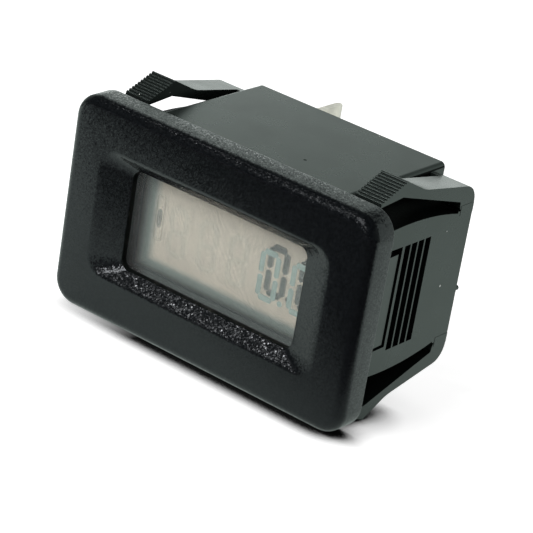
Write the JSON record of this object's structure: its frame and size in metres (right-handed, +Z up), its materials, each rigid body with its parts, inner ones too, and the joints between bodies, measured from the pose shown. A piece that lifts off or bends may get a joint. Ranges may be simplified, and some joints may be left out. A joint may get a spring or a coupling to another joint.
{
  "type": "hour meter",
  "caption": "Snap-in panel hour meter: rectangular bezel with a recessed liquid crystal display, box housing with ridged spring legs, and blade terminals at the back.",
  "frame": {"origin": "centre of the bezel's rear face, on the plane that seats on the panel", "axes": "+X to the right as seen from the front, +Y through the panel towards the back, +Z up"},
  "size_m": [0.0426, 0.0319, 0.029],
  "materials": {
    "bezel_plastic": "fine spark-eroded texture, black",
    "housing_plastic": "smooth satin black",
    "clear_lens": "clear, polished",
    "lcd_glass": "clear with a faint green tint",
    "lcd_reflector": "matt cream film",
    "strip_rubber": "black and grey layered rubber",
    "carrier_plastic": "matt black moulding",
    "board_laminate": "green solder mask",
    "chip_epoxy": "black moulded epoxy",
    "can_metal": "drawn can",
    "capacitor_sleeve": "dark blue shrink sleeve",
    "varistor_coat": "dipped blue coat",
    "resistor_coat": "beige lacquer",
    "blade_metal": "tin-plated brass, satin"
  },
  "bodies": {
    "meter": {"front_bezel": "bezel_plastic", "window_lens": "clear_lens", "lcd_front_glass": "lcd_glass", "lcd_rear_glass": "lcd_glass", "lcd_reflector": "lcd_reflector", "zebra_strip_upper": "strip_rubber", "zebra_strip_lower": "strip_rubber", "display_carrier": "carrier_plastic", "circuit_board": "board_laminate", "timer_chip": "chip_epoxy", "memory_chip": "chip_epoxy", "quartz_crystal": "can_metal", "smoothing_capacitor": "capacitor_sleeve", "surge_varistor": "varistor_coat", "rectifier_diodes": "chip_epoxy", "dropper_resistor": "resistor_coat", "terminal_left": "blade_metal", "terminal_right": "blade_metal", "housing": "housing_plastic"},
    "upper_left_leg": {"snap_leg_upper_left": "housing_plastic"},
    "upper_right_leg": {"snap_leg_upper_right": "housing_plastic"},
    "lower_left_leg": {"snap_leg_lower_left": "housing_plastic"},
    "lower_right_leg": {"snap_leg_lower_right": "housing_plastic"}
  },
  "joints": [
    {"name": "upper_left_leg_flex", "type": "hinge", "parent": "meter", "child": "upper_left_leg", "pos_m": [-0.0165, 0.01845, 0.00915], "axis": [1, 0, 0], "range_deg": [0, 11], "stiffness_Nm_per_rad": 0.6},
    {"name": "upper_right_leg_flex", "type": "hinge", "parent": "meter", "child": "upper_right_leg", "pos_m": [0.0165, 0.01845, 0.00915], "axis": [1, 0, 0], "range_deg": [0, 11], "stiffness_Nm_per_rad": 0.6},
    {"name": "lower_left_leg_flex", "type": "hinge", "parent": "meter", "child": "lower_left_leg", "pos_m": [-0.0165, 0.01845, -0.00915], "axis": [-1, 0, 0], "range_deg": [0, 11], "stiffness_Nm_per_rad": 0.6},
    {"name": "lower_right_leg_flex", "type": "hinge", "parent": "meter", "child": "lower_right_leg", "pos_m": [0.0165, 0.01845, -0.00915], "axis": [-1, 0, 0], "range_deg": [0, 11], "stiffness_Nm_per_rad": 0.6}
  ]
}
